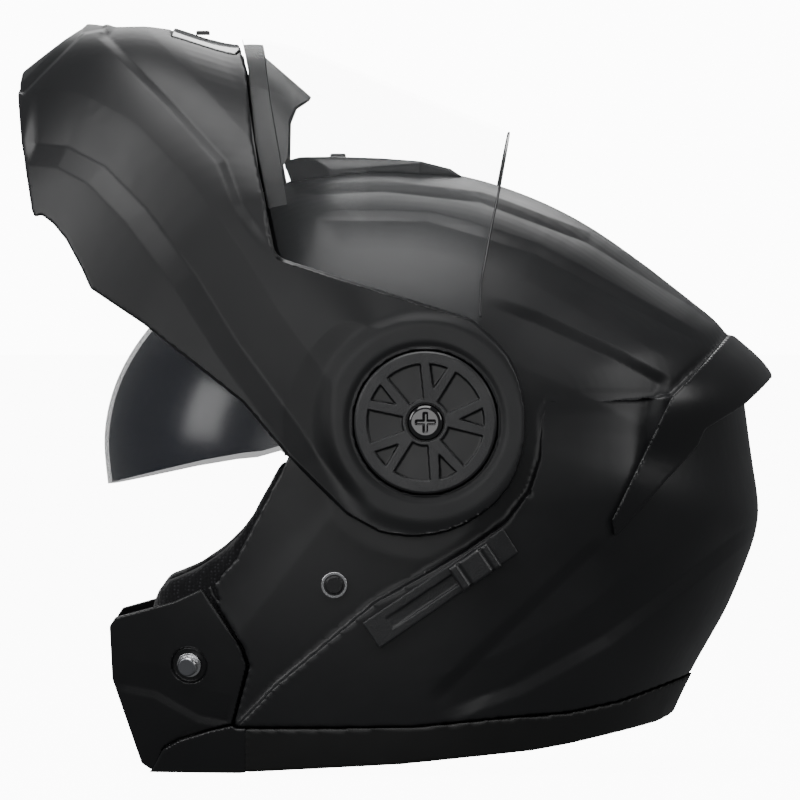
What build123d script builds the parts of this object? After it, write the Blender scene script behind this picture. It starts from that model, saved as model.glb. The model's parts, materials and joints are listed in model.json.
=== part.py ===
from build123d import *
from math import atan2, cos, degrees, hypot, radians, sin
from bisect import bisect_right
import os

os.makedirs("parts", exist_ok=True)

# ------------------------------------------------------------------ driving dimensions (mm)
# Frame: front of the helmet is -Y, wearer's left is +X, up is +Z, helmet symmetric about X = 0.
# Side profiles are lists of (u, v) grid points: u runs rearwards, v runs downwards.
GRID = 0.44                     # pitch of the side-profile grid
U0, V0 = 396.412, 765.5           # grid point that lies on the part origin (ground line, mid length)
UP, VP = 425.0, 419.0           # flip axis of the chin bar and visor
UH, VH = 342.0, 476.0           # hinge axis of the sun visor
EXP = 2.4                       # roundness of the cross sections
WALL = 4.0                      # shell wall
RAISE = 0.7                     # rise of the rear zone along the middle
W_SHELL = 113.0                 # half width, recessed front zone of the shell
W_REAR = 119.0                  # half width, raised rear zone of the shell
W_VISOR = 115.9                 # half width over the clear visor
T_VISOR = 2.0
W_CHIN_IN = 118.0               # half width inside the chin bar arms
W_CHIN = 125.0                  # half width over the chin bar arms
T_CHIN = 5.0
W_SUN = 103.0                   # half width over the sun visor
T_SUN = 2.0
T_EPS = 33.0
W_CAVITY = 86.0                 # half width inside the foam liner
R_HUB = 9.0                     # pivot hub
R_COVER = 30.8                  # spoked pivot cover
X_COVER0, X_COVER1 = 121.6, 126.4

# radius of each form about its own axis, in mm, at angles measured from +Y towards +Z
SHELL = {3: 139.7, 16: 137.5, 22.3: 130.8, 31.3: 121, 41.4: 114.4, 52: 110.6, 62.2: 108.4, 72.2: 107.7,
         81.1: 108.2, 91.1: 109.6, 100.2: 112.2, 108.8: 115.8, 117.4: 119.5, 126.3: 122.8, 135.9: 125.7,
         144.3: 127.4, 151.5: 127.9, 158: 131, 166: 146, 180: 182, 195: 207, 212: 222, 225: 231, 240: 235,
         255: 236, 270: 236, 286: 213, 299: 187, 316: 160.6, 325: 156.5, 335: 153.8, 344.4: 151.5,
         350: 146.4, 356.3: 142.4}
VISOR = {20: 131.6, 50: 131.6, 73.6: 131.6, 80: 134.2, 87: 138.4, 93.5: 145, 99: 153, 104.5: 163, 110: 174.5,
         115.3: 185, 122: 191, 135: 200, 160: 215, 200: 225, 240: 210, 290: 170, 340: 140}
CHIN = {20: 178, 60: 178, 105: 180, 116.4: 184.7, 119.7: 196.5, 124.8: 209.4, 130.5: 228.4, 136: 233, 141.4: 235,
        150: 238, 160: 242, 175: 246, 200: 246, 230: 240, 270: 220, 320: 190}
SUN = {0: 104, 60: 104, 134: 106.5, 150: 107.5, 160: 107.5, 170: 106, 181.7: 103, 200: 103, 300: 103}
SPOIL = dict(SHELL)
for _a, _r in {356.3: 151, 3: 154.6, 7.2: 154.4, 11.3: 146.2, 16: 139.4, 22.3: 133}.items():
    SPOIL[_a] = _r
# room inside the closed visor, which the front of the shell stays within
CLEAR = {3: 151, 16: 149, 22: 142, 31: 134, 41: 131.6, 60: 131.6, 99: 131.6, 129: 131.6, 152.6: 131.6, 159: 134.2,
         166: 138.4, 172.5: 145, 178: 153, 183.5: 163, 189: 174.5, 194.3: 185, 201: 191, 214: 200, 219: 203,
         226: 225, 234: 245, 250: 250, 270: 250, 286: 225, 299: 205, 316: 175, 325: 168, 335: 166, 344: 163,
         350: 158, 356: 154}
DEFL = {60: 130, 100: 132, 105: 138, 109.5: 150.3, 113.6: 172.8, 118: 186, 125: 190, 160: 200, 250: 200, 330: 150}

STEP = [(545, 399), (539.5, 418), (538, 453), (527.5, 487), (503.5, 517.5), (464, 545.5), (431, 565), (375, 596.5),
        (280, 676.5), (237, 721)]
CHIN_OUT = [(88, 24), (153, 28), (176, 31), (204, 31), (229.6, 35), (238.5, 43), (247.5, 74), (255, 143),
            (276.8, 251), (283, 257.7), (400, 294.6), (469, 316), (481, 326), (496, 340), (507, 353), (515, 370),
            (520, 390), (523, 413), (523, 432), (520, 450), (515, 467), (507, 483), (494, 499), (480, 510),
            (464, 520), (447, 527), (430, 531), (413, 532), (396, 531), (380, 528), (347, 510), (313, 477),
            (287, 450), (245, 400), (148, 322.7), (95.7, 288), (86.7, 268), (71.4, 240), (58.7, 224.5),
            (44.6, 214), (40.8, 219), (37, 211.7), (25.5, 143), (20.4, 95.7), (24, 72.7)]


# ------------------------------------------------------------------ helpers
def pt(u, v):
    return ((u - U0) * GRID, (V0 - v) * GRID)


def pts(*uv):
    return [pt(u, v) for u, v in uv]


PIV = pt(UP, VP)
HIN = pt(UH, VH)


def radius(table, a):
    ks = sorted(table)
    n = len(ks)
    a %= 360
    i = bisect_right(ks, a) - 1
    if i < 0:
        i, a = n - 1, a + 360

    def k(j):
        return ks[j % n] + 360 * (j // n)

    def val(j):
        return table[ks[j % n]]
    x0, x1, x2, x3 = k(i - 1), k(i), k(i + 1), k(i + 2)
    if a < x1:
        a += 360
    y0, y1, y2, y3 = val(i - 1), val(i), val(i + 1), val(i + 2)

    def slope(xa, ya, xb, yb, xc, yc):
        return ((xc - xb) * (yb - ya) / (xb - xa) + (xb - xa) * (yc - yb) / (xc - xb)) / (xc - xa)
    m1, m2 = slope(x0, y0, x1, y1, x2, y2), slope(x1, y1, x2, y2, x3, y3)
    h = x2 - x1
    t = (a - x1) / h
    return ((2 * t**3 - 3 * t**2 + 1) * y1 + (t**3 - 2 * t**2 + t) * h * m1
            + (3 * t**2 - 2 * t**3) * y2 + (t**3 - t**2) * h * m2)


STATIONS = [0, 0.22, 0.42, 0.60, 0.74, 0.85, 0.93, 0.985]
FORMS = {}


def form(table, width, grow=0.0, axis=None, count=44):
    """Closed rounded form: side profiles scaled about the axis, lofted from the right to the left side."""
    c = axis or PIV
    key = (id(table), width, grow, c, count)
    if key not in FORMS:
        with BuildPart() as body:
            for t in [-s for s in reversed(STATIONS[1:])] + STATIONS:
                h = (1 - abs(t) ** EXP) ** (1 / EXP)
                with BuildSketch(Plane.YZ.offset(t * width / STATIONS[-1])):
                    with BuildLine():
                        Spline(*[(c[0] + (radius(table, 360 * k / count) + grow) * h * cos(radians(360 * k / count)),
                                  c[1] + (radius(table, 360 * k / count) + grow) * h * sin(radians(360 * k / count)))
                                 for k in range(count)], periodic=True)
                    make_face()
            loft()
        FORMS[key] = body.part
    return FORMS[key]


def prism(uv, x0=-160.0, x1=160.0):
    with BuildPart() as body:
        with BuildSketch(Plane.YZ.offset(x0)):
            with BuildLine():
                Polyline(*pts(*uv), close=True)
            make_face()
        extrude(amount=x1 - x0)
    return body.part


def rod(u, v, r, x0, x1):
    with BuildPart() as body:
        with BuildSketch(Plane.YZ.offset(x0)):
            with Locations(pt(u, v)):
                Circle(r)
        extrude(amount=x1 - x0)
    return body.part


def surface_x(table, width, grow, u, v, axis=None):
    """Half width of a form at a side-view point."""
    c = axis or PIV
    y, z = pt(u, v)
    r = hypot(y - c[0], z - c[1])
    s = r / (radius(table, degrees(atan2(z - c[1], y - c[0]))) + grow)
    return width / STATIONS[-1] * (1 - s ** EXP) ** (1 / EXP)


def surface_plane(table, width, grow, u, v, lift=0.0):
    """Plane standing on a form's left side, normal pointing outwards."""
    e = 2.0
    x = surface_x(table, width, grow, u, v)
    du = (surface_x(table, width, grow, u + e, v) - surface_x(table, width, grow, u - e, v)) / (2 * e * GRID)
    dv = (surface_x(table, width, grow, u, v - e) - surface_x(table, width, grow, u, v + e)) / (2 * e * GRID)
    n = Vector(1, -du, -dv).normalized()
    o = Vector(x, *pt(u, v)) + n * lift
    t = Vector(0, 1, 0)
    t = (t - n * t.dot(n)).normalized()
    return Plane(origin=o, x_dir=t, z_dir=n)


def save(piece, name):
    piece.label = name
    export_step(piece, "parts/%s.step" % name)


def save_pair(left, name):
    save(left, name + "_left")
    with BuildPart() as other:
        mirror(left, about=Plane.YZ)
    save(other.part, name + "_right")


BIG = 160.0
REAR_ZONE = STEP + [(237, 800), (830, 800), (830, 300), (727, 333), (700, 362), (668, 393), (600, 399)]

# ------------------------------------------------------------------ outer shell
SHELL_CUT = [(120, 60), (120, 286), (162, 290), (205, 312), (262, 356), (292, 410), (291, 452), (268, 497), (239, 553),
             (220, 575), (209, 583), (246.5, 641), (252.5, 659), (237.5, 714), (238, 719.6), (341, 719.2),
             (413, 718.4), (507, 709.2), (566, 705), (617, 695), (688, 672), (800, 640), (800, 60)]
INNER_ZONE = [(553, 410), (549, 455), (538, 492), (512, 526), (470, 555), (437, 575), (382, 606), (289, 685),
              (262, 712), (262, 800), (820, 800), (820, 385), (737, 345), (706, 372), (674, 403), (600, 410)]
with BuildPart() as raised:
    add(form(SHELL, W_REAR, RAISE))
    add(prism(REAR_ZONE), mode=Mode.INTERSECT)
with BuildPart() as hollow:
    add(form(SHELL, W_REAR - WALL, RAISE - WALL))
    add(prism(INNER_ZONE), mode=Mode.INTERSECT)
with BuildPart() as outer_shell:
    add(form(SHELL, W_SHELL))
    add(form(CLEAR, W_VISOR - T_VISOR - 0.5, -T_VISOR - 0.5), mode=Mode.INTERSECT)
    add(raised.part)
    add(prism(SHELL_CUT), mode=Mode.INTERSECT)
    add(form(SHELL, W_SHELL - WALL, -WALL), mode=Mode.SUBTRACT)
    add(hollow.part, mode=Mode.SUBTRACT)
    for sx in (1, -1):
        add(rod(UP, VP, 3.1, min(sx * 100, sx * 116), max(sx * 100, sx * 116)), mode=Mode.SUBTRACT)
        add(rod(UH, VH, 3.0, min(sx * 100, sx * 118), max(sx * 100, sx * 118)), mode=Mode.SUBTRACT)
save(outer_shell.part, "outer_shell")


def layer(outer, inner, region, x0=-BIG, x1=BIG):
    """Skin between two forms, kept inside a side-view region."""
    with BuildPart() as body:
        add(outer)
        add(inner, mode=Mode.SUBTRACT)
        add(prism(region, x0, x1), mode=Mode.INTERSECT)
    return body.part


# ------------------------------------------------------------------ foam liner
EPS_CUT = [(120, 60), (120, 297), (185, 308), (225, 335), (282, 372), (325, 420), (345, 452), (436, 470), (436, 698),
           (520, 690), (600, 676), (690, 648), (800, 600), (800, 60)]
SUN_SWEEP = [(342, 230), (400, 215), (452, 240), (440, 300), (392, 420), (376, 476), (360, 502), (330, 505),
             (300, 500), (90, 530), (60, 400), (90, 250), (200, 160)]
with BuildPart() as sun_room:
    add(prism(SUN_SWEEP))
    add(form(SUN, W_SUN - 5.5, -T_SUN - 2.6 - 3.0, HIN), mode=Mode.SUBTRACT)
with BuildPart() as eps_liner:
    add(form(SHELL, W_SHELL - WALL - 0.5, -WALL - 0.6))
    add(form(SHELL, W_CAVITY, -WALL - T_EPS), mode=Mode.SUBTRACT)
    add(prism(EPS_CUT), mode=Mode.INTERSECT)
    add(sun_room.part, mode=Mode.SUBTRACT)
save(eps_liner.part, "eps_liner")

# ------------------------------------------------------------------ comfort pads
CROWN_CUT = [(150, 60), (150, 325), (230, 338), (300, 372), (352, 440), (640, 470), (800, 470), (800, 60)]
with BuildPart() as crown_pad:
    add(layer(form(SHELL, W_CAVITY - 0.4, -WALL - T_EPS - 0.4), form(SHELL, W_CAVITY - 8, -WALL - T_EPS - 8),
              CROWN_CUT))
save(crown_pad.part, "crown_pad")
CHEEK_CUT = [(279, 458), (256, 500), (233, 532), (200, 558), (161, 573), (154, 585), (149, 599), (150, 650),
             (160, 715), (185, 735), (300, 745), (430, 740), (430, 474), (350, 458)]
with BuildPart() as cheek_pad:
    add(layer(form(SHELL, 94, -14), form(SHELL, 68, -44), CHEEK_CUT, 8, BIG))
    fillet(cheek_pad.edges().filter_by(Axis.X), 6)
save_pair(cheek_pad.part, "cheek_pad")
ROLL_CUT = [(436, 702), (520, 694), (600, 680), (672, 656), (712, 640), (706, 692), (686, 700), (655, 712),
            (566, 731), (500, 740), (436, 744)]
with BuildPart() as neck_roll:
    add(layer(form(SHELL, W_REAR - 10, -10), form(SHELL, W_CAVITY - 6, -40), ROLL_CUT))
save(neck_roll.part, "neck_roll")

# ------------------------------------------------------------------ lower rim
TRIM_CUT = [(249, 721), (341, 720.6), (413, 719.6), (507, 710.6), (530, 709.4), (566, 706.4), (617, 696.4),
            (688, 673.4), (720, 660), (720, 684), (694, 691), (686, 706), (655, 718), (566, 737), (530, 743), (500, 746),
            (400, 756), (249, 764.5)]
with BuildPart() as base_trim:
    add(layer(form(SHELL, W_REAR + 1, 1.5), form(SHELL, W_REAR - 9.5, -9.5), TRIM_CUT))
save(base_trim.part, "base_trim")
JAW_CUT = [(113.5, 621), (119, 612.5), (143, 606), (178, 596), (205, 583.5), (243, 641), (249, 659), (234.5, 717.2),
           (212.5, 722.3), (182.5, 731.9), (165, 741.6), (156.3, 758.6), (151.5, 762.5), (144.5, 757), (116, 673.5)]
with BuildPart() as jaw_cover:
    add(layer(form(SHELL, W_SHELL - 1, -1), form(SHELL, W_SHELL - 13, -11), JAW_CUT, 20, BIG))
pin_plane = surface_plane(SHELL, W_SHELL - 1, -1, 192, 659)
with BuildPart() as pin_seat:
    with BuildSketch(pin_plane.offset(-1.6)):
        Circle(8)
    extrude(amount=20)
with BuildPart() as pin_room:
    with BuildSketch(pin_plane.offset(-5.6)):
        Circle(3)
    extrude(amount=10)
with BuildPart() as jaw_cover_l:
    add(jaw_cover.part)
    add(pin_seat.part, mode=Mode.SUBTRACT)
    add(pin_room.part, mode=Mode.SUBTRACT)
save_pair(jaw_cover_l.part, "jaw_cover")
JAW_TRIM = [(157.5, 759.6), (166, 742.9), (183, 733.2), (213, 723.6), (235, 718.6), (237.5, 721), (248, 721),
            (248, 764.6), (243, 765.5), (153, 765.5)]
with BuildPart() as jaw_trim:
    add(layer(form(SHELL, W_REAR + 1, 1.5), form(SHELL, W_SHELL - 13, -11), JAW_TRIM, 20, BIG))
save_pair(jaw_trim.part, "jaw_trim")
with BuildPart() as latch_pin:
    with BuildSketch(pin_plane.offset(-5.5)):
        Circle(2.95)
    extrude(amount=4.5)
    with BuildSketch(pin_plane.offset(-1.5)):
        Circle(5.3)
    extrude(amount=1.5)
    with BuildSketch(pin_plane):
        Circle(4.2)
    extrude(amount=4.0)
    chamfer(latch_pin.faces().sort_by(Axis(pin_plane.origin, pin_plane.z_dir))[-1].edges(), 0.6)
save_pair(latch_pin.part, "latch_pin")

# ------------------------------------------------------------------ strap and its studs
stud_plane = surface_plane(SHELL, W_SHELL, 0, 335.5, 579)
with BuildPart() as strap_stud:
    with BuildSketch(stud_plane.offset(0.1)):
        Circle(5.7)
    extrude(amount=1.0)
    with BuildSketch(stud_plane.offset(0.1)):
        Circle(3.6)
    extrude(amount=1.6)
save_pair(strap_stud.part, "strap_stud")
STRAP_CUT = [(310, 560), (361, 560), (361, 730), (310, 730)]
with BuildPart() as chin_strap:
    add(layer(form(SHELL, 67.6, -44.4), form(SHELL, 65.4, -46.6), STRAP_CUT, 8, BIG))
save_pair(chin_strap.part, "chin_strap")

# ------------------------------------------------------------------ crown vent
VENT_CUT = [(284, 162), (300, 157.5), (333, 157), (380, 158.5), (420, 161.5), (450, 169), (464, 178), (456, 179),
            (440, 240), (300, 240), (293, 187)]
with BuildPart() as top_vent:
    with BuildSketch(Plane.YZ.offset(-36)):
        with BuildLine():
            Polyline(*pts(*VENT_CUT), close=True)
        make_face()
    extrude(amount=72)
    with BuildSketch(Plane.XZ):
        with Locations((0, 268.8 - 60)):
            RectangleRounded(70, 120, 10)
    extrude(amount=120, both=True, mode=Mode.INTERSECT)
    with BuildSketch(Plane.XY.offset(200)):
        with BuildLine():
            Polyline((-24, pt(284, 0)[0] - 1), (24, pt(284, 0)[0] - 1), (35, pt(330, 0)[0]), (33, pt(420, 0)[0]),
                     (22, pt(465, 0)[0]), (-22, pt(465, 0)[0]), (-33, pt(420, 0)[0]), (-35, pt(330, 0)[0]), close=True)
        make_face()
    extrude(amount=90, mode=Mode.INTERSECT)
    add(form(SHELL, W_SHELL, 0.1), mode=Mode.SUBTRACT)
    with BuildSketch(Plane.XY.offset(265.0)):
        with Locations((0, pt(346, 0)[0])):
            Rectangle(11, 19)
    extrude(amount=20, mode=Mode.SUBTRACT)
save(top_vent.part, "top_vent")
with BuildPart() as top_vent_slider:
    with BuildSketch(Plane.XY.offset(265.4)):
        with Locations((0, pt(338, 0)[0])):
            Rectangle(10, 7)
    extrude(amount=3.9)
    chamfer(top_vent_slider.faces().sort_by(Axis.Z)[-1].edges(), 0.6)
save(top_vent_slider.part, "top_vent_slider")

# ------------------------------------------------------------------ rear spoiler with side fins
SPOIL_CUT = [(727, 334), (790, 350), (773, 375), (741, 403), (701, 427), (694, 443), (611, 532), (608, 516), (668, 393.5),
             (700, 362)]
with BuildPart() as rear_spoiler:
    add(layer(form(SPOIL, W_REAR + 3.5, 0), form(SHELL, W_REAR, RAISE + 0.15), SPOIL_CUT))
save(rear_spoiler.part, "rear_spoiler")

# ------------------------------------------------------------------ sun visor slider plate and button (left side)
PLATE_CUT = [(363, 616), (501, 523), (516, 547), (380, 641)]
slide_plane = surface_plane(SHELL, W_REAR, RAISE, 440, 582)
sd = Vector(0, *[b - a for a, b in zip(pt(476, 558), pt(396, 612))])
sd = (sd - slide_plane.z_dir * sd.dot(slide_plane.z_dir)).normalized()
with BuildPart() as slot_tool:
    with BuildSketch(Plane(origin=slide_plane.origin, x_dir=sd, z_dir=slide_plane.z_dir).offset(1.0)):
        Rectangle(54, 5.4)
    extrude(amount=10)
with BuildPart() as slider_plate:
    add(layer(form(SHELL, W_REAR + 2.6, RAISE + 2.6), form(SHELL, W_REAR, RAISE + 0.1), PLATE_CUT, 8, BIG))
    add(slot_tool.part, mode=Mode.SUBTRACT)
save(slider_plate.part, "slider_plate")
with BuildPart() as slider_button:
    with BuildSketch(Plane(origin=slide_plane.origin, x_dir=sd, z_dir=slide_plane.z_dir).offset(1.4)):
        with Locations((-17.5, 0)):
            Rectangle(12, 4.6)
    extrude(amount=2.2)
    with BuildSketch(Plane(origin=slide_plane.origin, x_dir=sd, z_dir=slide_plane.z_dir).offset(3.5)):
        with Locations((-17.5, 0)):
            Rectangle(20, 12)
    extrude(amount=3)
    chamfer(slider_button.faces().sort_by(Axis.X)[-1].edges(), 0.8)
save(slider_button.part, "slider_button")

# ------------------------------------------------------------------ hub screws and eye port gasket
with BuildPart() as pivot_hub:
    add(rod(UP, VP, 8.8, W_SHELL + 0.02, 121.2))
    add(rod(UP, VP, 3.1, 100, 130), mode=Mode.SUBTRACT)
save_pair(pivot_hub.part, "pivot_hub")
with BuildPart() as pivot_screw:
    add(rod(UP, VP, 3.0, 109.2, 122.0))
    add(rod(UP, VP, 7.9, 121.3, 127.2))
    fillet(pivot_screw.faces().sort_by(Axis.X)[-1].edges(), 2.4)
    with BuildSketch(Plane.YZ.offset(125.4)):
        with Locations(PIV):
            Rectangle(8.4, 1.7)
            Rectangle(1.7, 8.4)
    extrude(amount=5, mode=Mode.SUBTRACT)
save_pair(pivot_screw.part, "pivot_screw")
BROW_CUT = [(120, 286.6), (162, 290.6), (205, 312.6), (262, 356.6), (291.6, 410), (290.6, 452), (286.5, 452), (286, 411),
            (256, 361), (201, 318.5), (158, 297.5), (120, 294)]
with BuildPart() as brow_gasket:
    add(layer(form(SHELL, W_SHELL + 0.15, 0.15), form(SHELL, W_SHELL - WALL - 0.2, -WALL - 0.2), BROW_CUT))
    add(form(CLEAR, W_VISOR - T_VISOR - 0.4, -T_VISOR - 0.4), mode=Mode.INTERSECT)
save(brow_gasket.part, "brow_gasket")

# ------------------------------------------------------------------ sun visor
SUN_CUT = [(60, 290), (172, 292), (215, 318), (262, 362), (300, 410), (333, 448), (352, 462), (360, 476), (352, 490),
           (336, 492), (318, 478), (283, 447.5), (260, 454), (240, 456), (200, 463), (160, 472), (120, 481), (60, 492)]
with BuildPart() as sun_visor:
    add(layer(form(SUN, W_SUN, 0, HIN), form(SUN, W_SUN - T_SUN, -T_SUN, HIN), SUN_CUT))
    add(rod(UH, VH, 3.4, -120, 120), mode=Mode.SUBTRACT)
save(sun_visor.part, "sun_visor")
with BuildPart() as sun_pin:
    add(rod(UH, VH, 2.9, 97.5, 110.5))
    add(rod(UH, VH, 5.0, 103.5, 106.5))
    add(rod(UH, VH, 5.0, 97.5, 99.5))
save_pair(sun_pin.part, "sun_visor_pin")

# ------------------------------------------------------------------ chin bar
CHIN_VENT = [(176, 20), (230, 20), (241, 51), (236, 56), (204, 60), (173, 38)]
with BuildPart() as chin_vent:
    add(layer(form(CHIN, W_CHIN, 0.5), form(CHIN, W_CHIN - 2.4, -2.4), CHIN_VENT, -42, 42))
    with BuildSketch(Plane.XY.offset(316)):
        with Locations((2, pt(203, 0)[0])):
            Rectangle(19, 7)
    extrude(amount=20, mode=Mode.SUBTRACT)
save(chin_vent.part, "chin_vent")
with BuildPart() as chin_vent_slider:
    with BuildSketch(Plane.XY.offset(321.4)):
        with Locations((-2, pt(203, 0)[0])):
            Rectangle(10, 6)
    extrude(amount=1.9)
    chamfer(chin_vent_slider.faces().sort_by(Axis.Z)[-1].edges(), 0.5)
save(chin_vent_slider.part, "chin_vent_slider")
with BuildPart() as vent_seat:
    add(layer(form(CHIN, W_CHIN + 6, 6), form(CHIN, W_CHIN - 2.5, -2.5),
              [(175.4, 10), (231, 10), (241.8, 51), (236.4, 56.9), (203.8, 61), (172.2, 38.4)], -42.4, 42.4))
with BuildPart() as chin_bar:
    add(layer(form(CHIN, W_CHIN), form(CHIN, W_CHIN_IN, -T_CHIN), CHIN_OUT))
    add(vent_seat.part, mode=Mode.SUBTRACT)
    add(rod(UP, VP, R_HUB + 0.4, -140, 140), mode=Mode.SUBTRACT)
    for sx in (1, -1):
        add(rod(UP, VP, R_COVER + 0.6, min(sx * 121.5, sx * 140), max(sx * 121.5, sx * 140)), mode=Mode.SUBTRACT)
save(chin_bar.part, "chin_bar")

# ------------------------------------------------------------------ clear visor
ring = [(UP + 78 * cos(radians(a)), VP - 78 * sin(radians(a))) for a in range(58, -196, -8)]
VISOR_CUT = [(243, -60), (242.5, 40), (251, 76), (258.5, 144), (280.5, 250), (300, 285), (338, 345)] + ring[::-1] + \
            [(479, 318), (479.5, 283), (490, 227), (498, 190), (508, 137), (514, 100), (520, -60)]
with BuildPart() as visor:
    add(layer(form(VISOR, W_VISOR), form(VISOR, W_VISOR - T_VISOR, -T_VISOR), VISOR_CUT))
    add(rod(UP, VP, R_HUB + 0.4, -140, 140), mode=Mode.SUBTRACT)
save(visor.part, "visor")

# ------------------------------------------------------------------ pieces inside the chin bar
RAIL_CUT = [(241.6, 38), (262, 38), (265, 57), (271, 100), (283, 170), (289, 205), (270.6, 209), (263.3, 172),
            (257.4, 143), (252.8, 100), (249.8, 74), (246.4, 57)]
with BuildPart() as visor_gasket:
    add(layer(form(VISOR, W_VISOR - T_VISOR - 0.5, -T_VISOR - 0.6), form(VISOR, W_VISOR - T_VISOR - 4.5, -T_VISOR - 4.6),
              RAIL_CUT))
save(visor_gasket.part, "visor_gasket")
FRAME_CUT = [(215, 36), (239.2, 36), (243.8, 57), (249.8, 100), (260.8, 172), (268.8, 209), (240, 218), (228, 160)]
with BuildPart() as chin_frame:
    add(layer(form(CHIN, W_CHIN_IN - 0.1, -T_CHIN - 0.1), form(CHIN, W_CHIN_IN - 5, -T_CHIN - 7), FRAME_CUT))
save(chin_frame.part, "chin_frame")
DEFL_CUT = [(266, 58), (289, 78), (311, 97), (309, 100), (296, 108), (290, 122), (289, 159), (284, 169), (271.6, 100)]
with BuildPart() as breath_deflector:
    add(layer(form(DEFL, 108), form(DEFL, 105, -4), DEFL_CUT))
save(breath_deflector.part, "breath_deflector")
LINER_CUT = [(40, 100), (60, 60), (110, 48), (204, 50), (212, 108), (204, 142), (150, 146), (62, 156), (38, 150)]
with BuildPart() as chin_liner:
    add(layer(form(CHIN, W_CHIN_IN - 0.6, -T_CHIN - 0.6), form(CHIN, W_CHIN_IN - 14, -T_CHIN - 22), LINER_CUT))
HOOK_C = (145.0, 236.0)


def hook_pt(a, b):
    """a along the closing direction, b across it, in grid steps from the latch centre."""
    return (HOOK_C[0] - 0.547 * a + 0.837 * b, HOOK_C[1] + 0.837 * a + 0.547 * b)


HOOK_CUT = [hook_pt(a, b) for a, b in [(-26, -20), (-20, -25), (16, -25), (18, -14), (0, -14), (-9, -10.5), (-13, 0),
                                       (-9, 10.5), (0, 14), (18, 14), (16, 25), (-20, 25), (-26, 20)]]
with BuildPart() as latch_hook:
    add(layer(form(CHIN, W_CHIN_IN - 0.7, -T_CHIN - 0.7), form(CHIN, W_CHIN_IN - 2.7, -T_CHIN - 2.9), HOOK_CUT, 20, BIG))
save_pair(latch_hook.part, "latch_hook")

# ------------------------------------------------------------------ release button in the lower chin edge
with BuildPart() as button_seat:
    with BuildSketch(Plane.XZ.offset(100)):
        with Locations((0, pt(0, 118)[1])):
            SlotOverall(27, 10.8)
    extrude(amount=70)
with BuildPart() as chin_liner_cut:
    add(chin_liner.part)
    add(button_seat.part, mode=Mode.SUBTRACT)
save(chin_liner_cut.part, "chin_liner")
with BuildPart() as release_button:
    with BuildSketch(Plane.XZ.offset(148.5)):
        with Locations((0, pt(0, 118)[1])):
            SlotOverall(26, 9.8)
    extrude(amount=11.5)
    fillet(release_button.faces().sort_by(Axis.Y)[0].edges(), 1.0)
save(release_button.part, "release_button")

# ------------------------------------------------------------------ spoked pivot cover
with BuildPart() as pivot_cover:
    with BuildSketch(Plane.YZ.offset(X_COVER0)):
        with Locations(PIV):
            Circle(R_COVER)
            Circle(8.35, mode=Mode.SUBTRACT)
    extrude(amount=1.6)
    with BuildSketch(Plane.YZ.offset(X_COVER0 + 1.6)):
        with Locations(PIV):
            Circle(R_COVER)
            Circle(R_COVER - 5.4, mode=Mode.SUBTRACT)
            Circle(9.9)
        for ang in (77, 5, -67, -141, 149):
            for da in (-14, 14):
                with BuildLine():
                    Polyline(*[(PIV[0] + r * cos(radians(ang + b)), PIV[1] + r * sin(radians(ang + b)))
                               for r, b in ((8.6, -16), (27, da - 4), (27, da + 4), (8.6, 16))], close=True)
                make_face()
        with Locations(PIV):
            Circle(8.35, mode=Mode.SUBTRACT)
    extrude(amount=X_COVER1 - X_COVER0 - 1.6)
    chamfer(pivot_cover.faces().sort_by(Axis.X)[-1].edges().filter_by(GeomType.CIRCLE).sort_by(SortBy.RADIUS)[-1], 0.8)
save_pair(pivot_cover.part, "pivot_cover")
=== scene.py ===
import json
import math
import bpy
import bmesh
import numpy as np
from mathutils import Vector, Matrix


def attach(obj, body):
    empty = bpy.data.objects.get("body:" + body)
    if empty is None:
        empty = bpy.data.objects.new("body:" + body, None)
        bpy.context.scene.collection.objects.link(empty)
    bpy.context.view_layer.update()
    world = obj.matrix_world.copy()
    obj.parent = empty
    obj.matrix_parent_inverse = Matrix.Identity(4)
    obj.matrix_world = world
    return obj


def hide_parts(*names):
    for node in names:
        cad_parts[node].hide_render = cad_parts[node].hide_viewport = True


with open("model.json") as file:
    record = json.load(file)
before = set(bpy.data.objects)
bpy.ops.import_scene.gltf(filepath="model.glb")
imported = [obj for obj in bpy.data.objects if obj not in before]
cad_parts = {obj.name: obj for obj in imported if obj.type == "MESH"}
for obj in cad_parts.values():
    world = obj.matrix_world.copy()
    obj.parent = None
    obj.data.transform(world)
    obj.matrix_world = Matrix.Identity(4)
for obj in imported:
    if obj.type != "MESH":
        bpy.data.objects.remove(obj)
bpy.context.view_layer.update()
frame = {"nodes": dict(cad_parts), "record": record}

NODES = frame["nodes"]
BODY = {n: b for b, ns in frame["record"]["behaviour"]["bodies"].items() for n in ns}
SLOT = {s["node"]: s["material_slot"] for s in frame["record"]["subparts"]}
PITCH, U0, V0 = 0.44e-3, 396.412, 765.5
PU, PV = 425.0, 419.0
scene = bpy.context.scene
col = scene.collection

for o in NODES.values():
    o.data.materials.clear()


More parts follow.
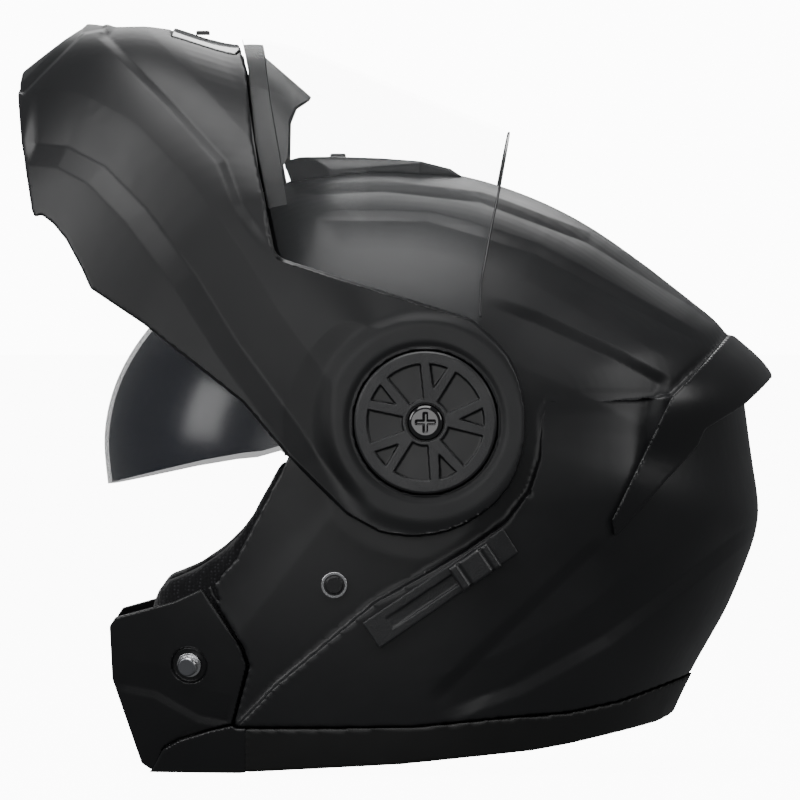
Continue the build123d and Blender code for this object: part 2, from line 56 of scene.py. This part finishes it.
# ------------------------------------------------------------------ materials
class Nodes:
    def __init__(self, name):
        self.m = bpy.data.materials.new(name)
        self.m.use_nodes = True
        self.t = self.m.node_tree
        self.b = self.t.nodes["Principled BSDF"]
        self.co = self.t.nodes.new("ShaderNodeTexCoord").outputs["Object"]

    def new(self, kind, **inputs):
        n = self.t.nodes.new(kind)
        for k, v in inputs.items():
            n.inputs[k.replace("_", " ")].default_value = v
        return n

    def link(self, a, b):
        self.t.links.new(a, b)

    def noise(self, scale, detail=3.0, rough=0.55):
        n = self.new("ShaderNodeTexNoise", Scale=scale, Detail=detail, Roughness=rough)
        self.link(self.co, n.inputs["Vector"])
        return n.outputs["Fac"]

    def voronoi(self, scale, out="Distance", rand=1.0):
        n = self.new("ShaderNodeTexVoronoi", Scale=scale, Randomness=rand)
        self.link(self.co, n.inputs["Vector"])
        return n.outputs[out]

    def ramp(self, fac, stops):
        n = self.t.nodes.new("ShaderNodeValToRGB")
        e = n.color_ramp.elements
        while len(e) > len(stops):
            e.remove(e[-1])
        while len(e) < len(stops):
            e.new(1.0)
        for k, (p, c) in zip(e, stops):
            k.position = p
            k.color = (*c, 1) if len(c) == 3 else c
        self.link(fac, n.inputs["Fac"])
        return n.outputs["Color"]

    def span(self, fac, lo, hi, a=0.3, b=0.7):
        n = self.new("ShaderNodeMapRange")
        for k, v in (("From Min", a), ("From Max", b), ("To Min", lo), ("To Max", hi)):
            n.inputs[k].default_value = v
        self.link(fac, n.inputs["Value"])
        return n.outputs["Result"]

    def bump(self, *layers):
        last = None
        for fac, strength, dist in layers:
            n = self.new("ShaderNodeBump", Strength=strength, Distance=dist)
            self.link(fac, n.inputs["Height"])
            if last is not None:
                self.link(last, n.inputs["Normal"])
            last = n.outputs["Normal"]
        self.link(last, self.b.inputs["Normal"])


def painted(name, dark, light, rough, grain=2600.0, bump=0.05, dist=0.00005, spec=0.5, coat=0.0, coat_rough=0.2, metal=0.0,
            wide=9.0):
    n = Nodes(name)
    n.link(n.ramp(n.noise(wide, 4.0), [(0.35, dark), (0.65, light)]), n.b.inputs["Base Color"])
    n.link(n.span(n.noise(60.0, 5.0), rough[0], rough[1]), n.b.inputs["Roughness"])
    n.b.inputs["Metallic"].default_value = metal
    n.b.inputs["Specular IOR Level"].default_value = spec
    n.b.inputs["Coat Weight"].default_value = coat
    n.b.inputs["Coat Roughness"].default_value = coat_rough
    n.bump((n.noise(grain, 2.0), bump, dist))
    return n.m


def woven(name, dark, light, scale, strength):
    n = Nodes(name)
    cell = n.voronoi(scale, rand=0.35)
    n.link(n.ramp(cell, [(0.0, light), (0.35, dark), (0.75, dark), (1.0, light)]), n.b.inputs["Base Color"])
    n.b.inputs["Roughness"].default_value = 0.92
    n.b.inputs["Specular IOR Level"].default_value = 0.25
    n.b.inputs["Sheen Weight"].default_value = 0.25
    n.b.inputs["Sheen Roughness"].default_value = 0.5
    n.bump((cell, strength, 0.0006), (n.noise(240.0, 4.0), 0.25, 0.0004))
    return n.m


def clear(name, tint, rough, opacity, spec):
    n = Nodes(name)
    n.link(n.ramp(n.noise(14.0, 2.0), [(0.3, tint[0]), (0.7, tint[1])]), n.b.inputs["Base Color"])
    n.link(n.span(n.noise(30.0, 3.0), rough[0], rough[1]), n.b.inputs["Roughness"])
    n.b.inputs["Alpha"].default_value = opacity
    n.b.inputs["Specular IOR Level"].default_value = spec
    return n.m


M = {
    "shell_paint": painted("matte_black_paint", (0.0072, 0.0074, 0.0082), (0.0090, 0.0092, 0.0101), (0.38, 0.43), spec=0.42,
                           bump=0.015),
    "chin_paint": painted("matte_black_chin", (0.0072, 0.0074, 0.0082), (0.0090, 0.0092, 0.0101), (0.39, 0.44), spec=0.42,
                          bump=0.015),
    "satin_black": painted("satin_black_moulding", (0.0062, 0.0063, 0.0070), (0.0082, 0.0083, 0.0090), (0.28, 0.34), grain=1800.0,
                           bump=0.04, spec=0.42),
    "cover_black": painted("grained_black_moulding", (0.012, 0.0122, 0.0132), (0.020, 0.020, 0.0215), (0.30, 0.42), grain=1500.0,
                           bump=0.6, dist=0.00018),
    "gloss_black": painted("gloss_black", (0.003, 0.003, 0.0035), (0.004, 0.004, 0.005), (0.08, 0.12), bump=0.01, coat=0.6,
                           coat_rough=0.05),
    "foam": painted("moulded_foam", (0.006, 0.006, 0.0065), (0.011, 0.011, 0.012), (0.8, 0.9), grain=520.0, bump=0.5,
                    dist=0.0004, spec=0.2),
    "rubber": painted("black_rubber", (0.0045, 0.0045, 0.0045), (0.007, 0.007, 0.007), (0.46, 0.56), grain=1200.0, bump=0.12,
                      dist=0.0001, spec=0.4),
    "steel": painted("polished_steel", (0.42, 0.42, 0.43), (0.55, 0.55, 0.56), (0.18, 0.26), metal=1.0, bump=0.04),
    "gunmetal": painted("dark_steel", (0.16, 0.165, 0.18), (0.24, 0.245, 0.26), (0.28, 0.38), metal=1.0, bump=0.08),
    "stud_black": painted("stud_centre", (0.008, 0.008, 0.009), (0.013, 0.013, 0.014), (0.22, 0.3), bump=0.05),
    "pad_fabric": woven("black_mesh_fabric", (0.004, 0.004, 0.005), (0.04, 0.04, 0.045), 620.0, 0.6),
    "webbing": woven("black_webbing", (0.006, 0.006, 0.006), (0.03, 0.03, 0.03), 500.0, 0.5),
    "clear_visor": clear("clear_polycarbonate", ((0.30, 0.31, 0.32), (0.36, 0.37, 0.38)), (0.03, 0.06), 0.035, 0.5),
    # painted shade: opaque near-black for the clear visor's cut edge and outline bead
    "visor_edge_painted_shade": painted("visor_cut_edge_painted_shade", (0.010, 0.010, 0.011), (0.02, 0.02, 0.022), (0.12, 0.2), bump=0.02),
    "smoke_visor": clear("smoke_polycarbonate", ((0.0040, 0.0060, 0.013), (0.0055, 0.0080, 0.017)), (0.2, 0.26), 0.80, 0.45),
}


# ------------------------------------------------------------------ mesh helpers
def grid_uv(p):
    return p[:, 1] / PITCH + U0, V0 - p[:, 2] / PITCH


def line_field(u, v, line):
    """Signed distance to an open line in grid steps (positive on its left going along it) and the share along it."""
    best = np.full(len(u), 1e9)
    sign = np.zeros(len(u))
    share = np.zeros(len(u))
    line = np.array(line, float)
    seg = np.hypot(*(line[1:] - line[:-1]).T)
    total, run = seg.sum(), 0.0
    for k in range(len(line) - 1):
        a, b = line[k], line[k + 1]
        d = b - a
        t = np.clip(((u - a[0]) * d[0] + (v - a[1]) * d[1]) / (d @ d), 0, 1)
        dist = np.hypot(u - a[0] - t * d[0], v - a[1] - t * d[1])
        near = dist < best
        side = d[0] * (v - a[1]) - d[1] * (u - a[0])
        best = np.where(near, dist, best)
        sign = np.where(near, np.where(side < 0, 1.0, -1.0), sign)
        share = np.where(near, (run + t * seg[k]) / total, share)
        run += seg[k]
    return best * sign, share


def smooth_step(x, lo, hi):
    t = np.clip((x - lo) / (hi - lo), 0, 1)
    return t * t * (3 - 2 * t)


def fade_ends(share, a=0.08, b=0.92):
    return smooth_step(share, 0, a) * (1 - smooth_step(share, b, 1))


def points(mesh):
    p = np.empty(len(mesh.vertices) * 3, np.float32)
    mesh.vertices.foreach_get("co", p)
    return p.reshape(-1, 3).astype(float)


def normals(mesh):
    p = np.empty(len(mesh.vertices) * 3, np.float32)
    mesh.vertices.foreach_get("normal", p)
    return p.reshape(-1, 3).astype(float)


def put(mesh, p):
    mesh.vertices.foreach_set("co", p.astype(np.float32).ravel())
    mesh.update()


def relax(mesh, rounds):
    e = np.empty(len(mesh.edges) * 2, np.int32)
    mesh.edges.foreach_get("vertices", e)
    a, b = e.reshape(-1, 2).T
    p = points(mesh)
    n = len(p)
    deg = np.maximum(np.bincount(a, minlength=n) + np.bincount(b, minlength=n), 1)[:, None]
    for k in range(rounds * 2):
        f = 0.5 if k % 2 == 0 else -0.52
        s = np.stack([np.bincount(a, p[b, c], n) + np.bincount(b, p[a, c], n) for c in range(3)], 1) / deg
        p = p + f * (s - p)
    put(mesh, p)


def evaluated(ob):
    dg = bpy.context.evaluated_depsgraph_get()
    dg.update()
    return bpy.data.meshes.new_from_object(ob.evaluated_get(dg))


def finish_piece(ob, node, material=None):
    me = ob.data
    me.materials.clear()
    me.materials.append(M[material or SLOT[node]])
    me.shade_smooth()
    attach(ob, BODY[node])
    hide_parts(node)
    return ob


def rebuild(node, voxel, rounds=4, shape=None, material=None, source=None):
    """A fine mesh of a hard piece with softened edges, then shaped by a displacement function."""
    src = NODES[node]
    me = src.data.copy()
    bm = bmesh.new()
    bm.from_mesh(me)
    bmesh.ops.remove_doubles(bm, verts=bm.verts, dist=2e-6)
    bm.to_mesh(me)
    bm.free()
    ob = bpy.data.objects.new("vis_" + node, me)
    col.objects.link(ob)
    mod = ob.modifiers.new("fine", "REMESH")
    mod.mode = "VOXEL"
    mod.voxel_size = voxel
    new = evaluated(ob)
    ob.modifiers.clear()
    ob.data = new
    for a in list(new.attributes):
        if a.name in ("sharp_face", "custom_normal"):
            new.attributes.remove(a)
    relax(new, rounds)
    if shape:
        p, nn = points(new), normals(new)
        put(new, shape(p, nn))
        relax(new, 1)
    return finish_piece(ob, node, material)


# ------------------------------------------------------------------ surface detail of the shell and the chin bar
def outer_side(p, n):
    """1 on faces that look away from the middle of the helmet, 0 on the inner ones."""
    c = np.stack([p[:, 0], p[:, 1] - 0.0126, p[:, 2] - 0.1525], 1)
    c /= np.maximum(np.linalg.norm(c, axis=1), 1e-6)[:, None]
    return smooth_step((c * n).sum(1), 0.05, 0.35)


A_LINE = [(290, 193), (384, 189), (480, 200), (587, 240), (693, 304), (727, 334)]
B_LINE = [(315, 219), (427, 219), (533, 251), (640, 309), (709, 347)]
C_LINE = [(477, 301), (533, 320), (613, 357), (667, 387)]
D_LINE = [(608, 533), (533, 603), (464, 667), (430, 700)]
E_LINE = [(757, 517), (693, 565), (602, 630), (515, 677), (427, 709)]


def crease(d, above, below, depth):
    """A sharp-bottomed groove: straight slopes of the given widths on the two sides of a line."""
    return depth * np.clip(np.where(d > 0, 1 - d / above, 1 + d / below), 0, 1)


def shell_shape(p, n):
    u, v = grid_uv(p)
    out = outer_side(p, n)
    # the raised rear zone grows out of the side gradually below its upper edge
    top = np.interp(u, [540, 600, 668], [399.0, 399.0, 393.0])
    zone = (1 - smooth_step(u, 642, 669)) * (u > 525) * (v > 388)
    sink = zone * (1 - smooth_step(v - top, 6, 100))
    ang = np.degrees(np.arctan2(PV - v, u - PU)) % 360
    far = np.interp(ang, [0, 3, 16, 22.3, 31.3, 299, 316, 325, 335, 344.4, 350, 356.3, 360],
                    [141, 139.7, 137.5, 130.8, 121, 187, 160.6, 156.5, 153.8, 151.5, 146.4, 142.4, 141])
    s = np.clip(np.hypot(u - PU, v - PV) * 0.44 / far, 0, 0.995)
    flank = np.minimum(113.0, 114.7 * (1 - s ** 2.4) ** (1 / 2.4)) * 1e-3
    inward = (p[:, 0] * n[:, 0]) < -0.3 * np.abs(p[:, 0])
    over = np.clip(np.abs(p[:, 0]) - np.where(inward, flank - 0.0045, flank + 0.00005), 0, 0.0075)
    p = p.copy()
    p[:, 0] -= np.sign(p[:, 0]) * over * sink
    da, sa = line_field(u, v, A_LINE)
    db, sb = line_field(u, v, B_LINE)
    dc, sc = line_field(u, v, C_LINE)
    dd, sd = line_field(u, v, D_LINE)
    de, se = line_field(u, v, E_LINE)
    upper = smooth_step(460 - v, 0, 40)
    depth = upper * crease(da, 8, 26, 1.5) * fade_ends(sa, 0.06, 0.92)
    depth += upper * crease(db, 9, 30, 1.3) * fade_ends(sb, 0.06, 0.9)
    depth += crease(dc, 10, 46, 1.7) * fade_ends(sc, 0.25, 0.94)
    depth += crease(dd, 34, 12, 1.3) * fade_ends(sd, 0.12, 0.9)
    depth += crease(de, 12, 34, 1.7) * fade_ends(se, 0.1, 0.85)
    return p - n * (depth * out * 1e-3)[:, None]


BEVEL = [(22, 94), (84, 31), (108, 27)]
VALLEY = [(27, 141), (69, 145), (107, 165), (149, 208), (197, 272), (240, 341), (299, 421), (320, 453), (373, 512)]
RIDGE = [(104, 29), (176, 101), (229, 160), (245, 203), (277, 251)]


def chin_shape(p, n):
    u, v = grid_uv(p)
    out = outer_side(p, n)
    dv, sv = line_field(u, v, VALLEY)
    dr, sr = line_field(u, v, RIDGE)
    db, sb = line_field(u, v, BEVEL)
    r = np.hypot(u - PU, v - PV)
    clear = smooth_step(r, 88, 104)
    depth = clear * crease(dv, 52, 24, 3.0) * fade_ends(sv, 0.02, 0.9)
    depth += crease(dr, 30, 10, 1.6) * fade_ends(sr, 0.03, 0.85)
    depth += crease(db, 6, 5, 1.1) * fade_ends(sb, 0.02, 0.97)
    side = smooth_step(np.abs(p[:, 0]), 0.112, 0.12)
    depth += side * 1.5 * smooth_step(r, 94, 113)
    depth += side * 0.9 * np.exp(-((r - 74.0) / 3.5) ** 2)
    return p - n * (depth * out * 1e-3)[:, None]


def jaw_shape(p, n):
    u, v = grid_uv(p)
    d, sh = line_field(u, v, [(117, 677), (160, 685), (203, 709), (235, 715)])
    q = p - n * (crease(d, 26, 8, 0.8) * fade_ends(sh, 0.1, 0.95) * outer_side(p, n) * 1e-3)[:, None]
    tip = smooth_step(v, 736, 752) * smooth_step(u, 146, 152)
    q[:, 1] += 0.0013 * tip
    q[:, 2] -= 0.0006 * tip
    return q


def button_shape(p, n):
    u, v = grid_uv(p)
    along = u * 0.829 - v * 0.5596
    groove = np.exp(-((along - 66.0) / 1.9) ** 2) + np.exp(-((along - 92.0) / 1.9) ** 2)
    return p - n * (0.9e-3 * groove * outer_side(p, n))[:, None]


def second(ob, mat, test):
    """Another finish on the faces whose centres pass the test."""
    ob.data.materials.append(M[mat])
    k = len(ob.data.materials) - 1
    c = np.empty(len(ob.data.polygons) * 3, np.float32)
    ob.data.polygons.foreach_get("center", c)
    pick = test(c.reshape(-1, 3).astype(float))
    ob.data.polygons.foreach_set("material_index", np.where(pick, k, 0).astype(np.int32))
    ob.data.update()


def from_axis(ob):
    """Distance of points from the axis of a turned piece."""
    q = points(ob.data)
    mid = q.mean(0)
    w, vec = np.linalg.eigh(np.cov((q - mid).T))
    k = 0 if abs(w[0] - w[1]) > abs(w[1] - w[2]) else 2
    ax = vec[:, k]
    return lambda c: np.linalg.norm(np.cross(c - mid, ax), axis=1)


def trim_end(p, n):
    u, v = grid_uv(p)
    p = p.copy()
    p[:, 1] -= 0.0010 * (1 - smooth_step(u, 249.5, 256))
    return p


def jaw_end(p, n):
    u, v = grid_uv(p)
    p = p.copy()
    p[:, 1] += 0.0004 * smooth_step(u, 242, 247)
    return p


rebuild("outer_shell", 0.0011, 9, shell_shape)
rebuild("chin_bar", 0.0010, 6, chin_shape)
for side in ("left", "right"):
    rebuild("jaw_cover_" + side, 0.0006, 2, jaw_shape)
    rebuild("jaw_trim_" + side, 0.0007, 2, jaw_end)
    wheel = rebuild("pivot_cover_" + side, 0.00036, 2)
    # painted shade: the recessed pocket floors between the spokes get the darker satin finish
    second(wheel, "satin_black", lambda c: np.abs(c[:, 0]) < 0.1238)
    rebuild("pivot_screw_" + side, 0.00025, 2)
    ob = rebuild("latch_pin_" + side, 0.0002, 2)
    far = from_axis(ob)
    second(ob, "steel", lambda c: far(c) > 0.0040)
    ob = rebuild("strap_stud_" + side, 0.00015, 1)
    far2 = from_axis(ob)
    second(ob, "stud_black", lambda c: far2(c) < 0.0046)
# clear visor: painted shade, a near-black finish on its cut edge and a thin dark bead along its top outline
VISOR_EDGE = [(242.5, 40), (251, 76), (258.5, 144), (280.5, 250), (300, 285), (338, 345)], \
             [(479, 318), (479.5, 283), (490, 227), (498, 190), (508, 137), (514, 100)]
src = NODES["visor"]
vis = bpy.data.objects.new("vis_visor", src.data.copy())
col.objects.link(vis)
finish_piece(vis, "visor")
vis.data.materials.append(M["visor_edge_painted_shade"])
vp = points(vis.data)
vu, vv = grid_uv(vp)
near = np.zeros(len(vp), bool)
for line in VISOR_EDGE:
    near |= np.abs(line_field(vu, vv, line)[0]) < 0.7
for f in vis.data.polygons:
    if abs(f.normal.x) < 0.03 and all(near[k] for k in f.vertices):
        f.material_index = 1
vis.data.set_sharp_from_angle(angle=math.radians(28))

# painted shade: a thin dark tube along the visor's top outline, where the clear edge only looks dark
VIS_R = [(50, 131.6), (73.6, 131.6), (80, 134.2), (87, 138.4)]
edge = []
line = [(479.0, 316.0), (479.5, 283.0), (490.0, 227.0), (498.0, 190.0), (508.0, 137.0), (513.0, 106.0)]
for a, b in zip(line[:-1], line[1:]):
    for k in range(24):
        u_, v_ = a[0] + (b[0] - a[0]) * k / 24, a[1] + (b[1] - a[1]) * k / 24
        ang_ = math.degrees(math.atan2(PV - v_, u_ - PU))
        s_ = math.hypot(u_ - PU, v_ - PV) * 0.44 / np.interp(ang_, [q[0] for q in VIS_R], [q[1] for q in VIS_R])
        if s_ < 0.9995:
            edge.append((min(115.9, 115.9 / 0.985 * (1 - s_ ** 2.4) ** (1 / 2.4)) * 1e-3 - 0.0006, (u_ - U0) * PITCH, (V0 - v_) * PITCH))
path = [Vector(q) for q in edge] + [Vector((-q[0], q[1], q[2])) for q in reversed(edge)]
bm = bmesh.new()
rings = []
for k, q in enumerate(path):
    t = (path[min(k + 1, len(path) - 1)] - path[max(k - 1, 0)]).normalized()
    side_ = t.cross(Vector((0.3, 1, 0.2))).normalized()
    up_ = t.cross(side_).normalized()
    rings.append([bm.verts.new(q + (side_ * math.cos(w) + up_ * math.sin(w)) * 0.00052)
                  for w in [2 * math.pi * j / 10 for j in range(10)]])
for a, b in zip(rings[:-1], rings[1:]):
    for j in range(10):
        bm.faces.new((a[j], a[(j + 1) % 10], b[(j + 1) % 10], b[j]))
bm.faces.new(rings[0][::-1])
bm.faces.new(rings[-1])
bmesh.ops.recalc_face_normals(bm, faces=bm.faces)
me = bpy.data.meshes.new("visor_rim_painted_shade_bead")
bm.to_mesh(me)
bm.free()
bead = bpy.data.objects.new("visor_rim_painted_shade_bead", me)
col.objects.link(bead)
me.materials.append(M["visor_edge_painted_shade"])
me.shade_smooth()
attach(bead, "visor")

rebuild("base_trim", 0.0011, 3, trim_end)
rebuild("rear_spoiler", 0.0009, 3)
rebuild("top_vent", 0.0006, 3)
rebuild("slider_plate", 0.0004, 1, material="cover_black")
rebuild("slider_button", 0.0003, 1, button_shape, material="cover_black")
rebuild("chin_vent", 0.0006, 1)

# ------------------------------------------------------------------ soft pieces
def soft(node, voxel, push, pressure=4.0, cap=0.004, detail=None):
    """Foam in fabric: the piece is shrunk, remeshed, inflated as cloth and smoothed once more."""
    me = NODES[node].data.copy()
    bm = bmesh.new()
    bm.from_mesh(me)
    bmesh.ops.remove_doubles(bm, verts=bm.verts, dist=2e-6)
    bm.to_mesh(me)
    bm.free()
    ob = bpy.data.objects.new("pad_" + node, me)
    col.objects.link(ob)
    mod = ob.modifiers.new("r", "REMESH")
    mod.mode = "VOXEL"
    mod.voxel_size = voxel
    new = evaluated(ob)
    ob.modifiers.clear()
    ob.data = new
    relax(new, 10)
    put(new, points(new) - normals(new) * push)
    rest = points(new)
    c = ob.modifiers.new("c", "CLOTH")
    c.settings.use_pressure = True
    c.settings.uniform_pressure_force = pressure
    c.settings.effector_weights.gravity = 0
    c.settings.tension_stiffness = 12
    c.settings.compression_stiffness = 12
    c.settings.bending_stiffness = 1.2
    c.point_cache.frame_start, c.point_cache.frame_end = 1, 20
    for f in range(1, 21):
        scene.frame_set(f)
    blown = evaluated(ob)
    ob.modifiers.clear()
    q = points(blown)
    move = q - rest
    length = np.linalg.norm(move, axis=1)
    move *= (np.minimum(length, cap) / np.maximum(length, 1e-9))[:, None]
    put(new, rest + move)
    scene.frame_set(1)
    s = ob.modifiers.new("s", "SUBSURF")
    s.levels = s.render_levels = 1
    fine = evaluated(ob)
    ob.modifiers.clear()
    ob.data = fine
    if detail:
        p, nn = points(fine), normals(fine)
        put(fine, detail(p, nn))
    finish_piece(ob, node)
    return ob


def seam_detail(p, n):
    u, v = grid_uv(p)
    d1, s1 = line_field(u, v, [(262, 470), (236, 520), (205, 552), (158, 585), (165, 700)])
    depth = 0.8 * np.exp(-(d1 / 4.0) ** 2)
    wave = 0.25 * np.sin(u * 0.18 + v * 0.11) * np.sin(v * 0.16)
    return p - n * ((depth + wave) * 1e-3)[:, None]


for node, voxel in (("cheek_pad_left", 0.0042), ("cheek_pad_right", 0.0042), ("neck_roll", 0.0045), ("crown_pad", 0.0042),
                    ("chin_liner", 0.0042)):
    soft(node, voxel, 0.0016, cap=0.0016, detail=seam_detail if "cheek" in node else None)

# ------------------------------------------------------------------ housing behind the release button
def slot_ring(bm, y, w, h, count=12):
    out = []
    for k in range(count * 2):
        a = math.pi * (k + 0.5) / count - math.pi / 2
        cx = (w - h) if math.cos(a) > 0 else -(w - h)
        out.append(bm.verts.new((cx + h * math.cos(a), y, (V0 - 118) * PITCH + h * math.sin(a))))
    return out


bm = bmesh.new()
loops = [slot_ring(bm, y, w, h) for y, w, h in ((-0.1425, 0.0126, 0.0045), (-0.1420, 0.0137, 0.0057), (-0.1330, 0.0137, 0.0057),
                                                (-0.1325, 0.0126, 0.0045))]
for a, b in zip(loops[:-1], loops[1:]):
    for k in range(len(a)):
        bm.faces.new((a[k], a[(k + 1) % len(a)], b[(k + 1) % len(a)], b[k]))
bm.faces.new(loops[0][::-1])
bm.faces.new(loops[-1])
bmesh.ops.recalc_face_normals(bm, faces=bm.faces)
me = bpy.data.meshes.new("release_button_housing")
bm.to_mesh(me)
bm.free()
me.materials.append(M["satin_black"])
housing = bpy.data.objects.new("release_button_housing", me)
col.objects.link(housing)
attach(housing, "chin_bar")

# ------------------------------------------------------------------ finishes on the pieces kept from the frame
for n, o in NODES.items():
    o.data.materials.append(M["satin_black" if n == "top_vent_slider" else SLOT[n]])
    if not o.hide_render:
        o.data.shade_smooth()
        o.data.set_sharp_from_angle(angle=math.radians(28))

# ------------------------------------------------------------------ room, light and camera
def plane(name, x0, x1, y0, y1, z, mat):
    me = bpy.data.meshes.new(name)
    me.from_pydata([(x0, y0, z), (x1, y0, z), (x1, y1, z), (x0, y1, z)], [], [(0, 1, 2, 3)])
    o = bpy.data.objects.new(name, me)
    me.materials.append(mat)
    col.objects.link(o)
    return o


def unlit(ob):
    """Seen directly and through clear pieces, without lighting the helmet."""
    ob.visible_diffuse = False
    ob.visible_glossy = False
    ob.visible_shadow = False


fl = Nodes("pale_floor")
fl.link(fl.ramp(fl.noise(2.0, 2.0), [(0.3, (0.88, 0.88, 0.885)), (0.7, (0.92, 0.92, 0.92))]), fl.b.inputs["Base Color"])
fl.link(fl.ramp(fl.noise(1.3, 2.0), [(0.3, (0.985, 0.985, 0.985)), (0.7, (1.0, 1.0, 1.0))]), fl.b.inputs["Emission Color"])
fl.b.inputs["Emission Strength"].default_value = 11.0
fl.b.inputs["Roughness"].default_value = 0.12
floor = plane("floor", -26, 26, -26, 26, -0.0005, fl.m)
unlit(floor)

wl = Nodes("pale_backdrop")
wl.link(wl.ramp(wl.noise(1.0, 2.0), [(0.3, (0.98, 0.98, 0.98)), (0.7, (1.0, 1.0, 1.0))]), wl.b.inputs["Emission Color"])
wl.link(wl.ramp(wl.noise(1.0, 2.0), [(0.3, (0.88, 0.88, 0.88)), (0.7, (0.9, 0.9, 0.9))]), wl.b.inputs["Base Color"])
wl.b.inputs["Emission Strength"].default_value = 12.0
wl.b.inputs["Roughness"].default_value = 0.9
count = 48
ring = [(25 * math.cos(2 * math.pi * k / count), 25 * math.sin(2 * math.pi * k / count)) for k in range(count)]
me = bpy.data.meshes.new("backdrop")
me.from_pydata([(x, y, -0.001) for x, y in ring] + [(x, y, 25.0) for x, y in ring], [],
               [(k, k + count, (k + 1) % count + count, (k + 1) % count) for k in range(count)])
me.materials.append(wl.m)
backdrop = bpy.data.objects.new("backdrop", me)
col.objects.link(backdrop)
unlit(backdrop)

world = bpy.data.worlds.new("studio")
scene.world = world
world.use_nodes = True
world.node_tree.nodes["Background"].inputs["Color"].default_value = (0.96, 0.98, 1.0, 1)
world.node_tree.nodes["Background"].inputs["Strength"].default_value = 0.17


def area(name, loc, target, size, power, color=(1, 1, 1)):
    l = bpy.data.lights.new(name, "AREA")
    l.shape = "RECTANGLE"
    l.size, l.size_y = size
    l.energy = power
    l.color = color
    o = bpy.data.objects.new(name, l)
    o.location = loc
    o.rotation_mode = "QUATERNION"
    o.rotation_quaternion = (Vector(target) - Vector(loc)).to_track_quat("-Z", "Y")
    col.objects.link(o)
    return o


area("top_box", (0.55, -0.1, 1.7), (0, 0, 0.2), (1.3, 1.5), 30)
area("front_box", (0.95, -1.6, 0.95), (0, 0, 0.2), (0.8, 1.0), 15)
area("rear_box", (0.8, 1.7, 0.9), (0, 0, 0.2), (0.7, 1.0), 9)
area("far_box", (-1.5, 0.0, 1.2), (0, 0, 0.2), (1.2, 0.8), 12)
area("low_box", (2.6, -0.5, 0.35), (0, 0, 0.15), (1.4, 0.9), 11)

cam_data = bpy.data.cameras.new("camera")
cam = bpy.data.objects.new("camera", cam_data)
col.objects.link(cam)
D = 6.2
cy, cz = (400 - U0) * PITCH, (V0 - 400) * PITCH
elev = math.radians(0.6)
cam.location = (D * math.cos(elev), cy, cz + D * math.sin(elev))
cam.rotation_mode = "QUATERNION"
cam.rotation_quaternion = (Vector((0, cy, cz)) - Vector(cam.location)).to_track_quat("-Z", "Y")
cam_data.sensor_width = 36.0
cam_data.lens = 36.0 * D / (800 * PITCH)
cam_data.clip_start, cam_data.clip_end = 0.1, 90
scene.camera = cam
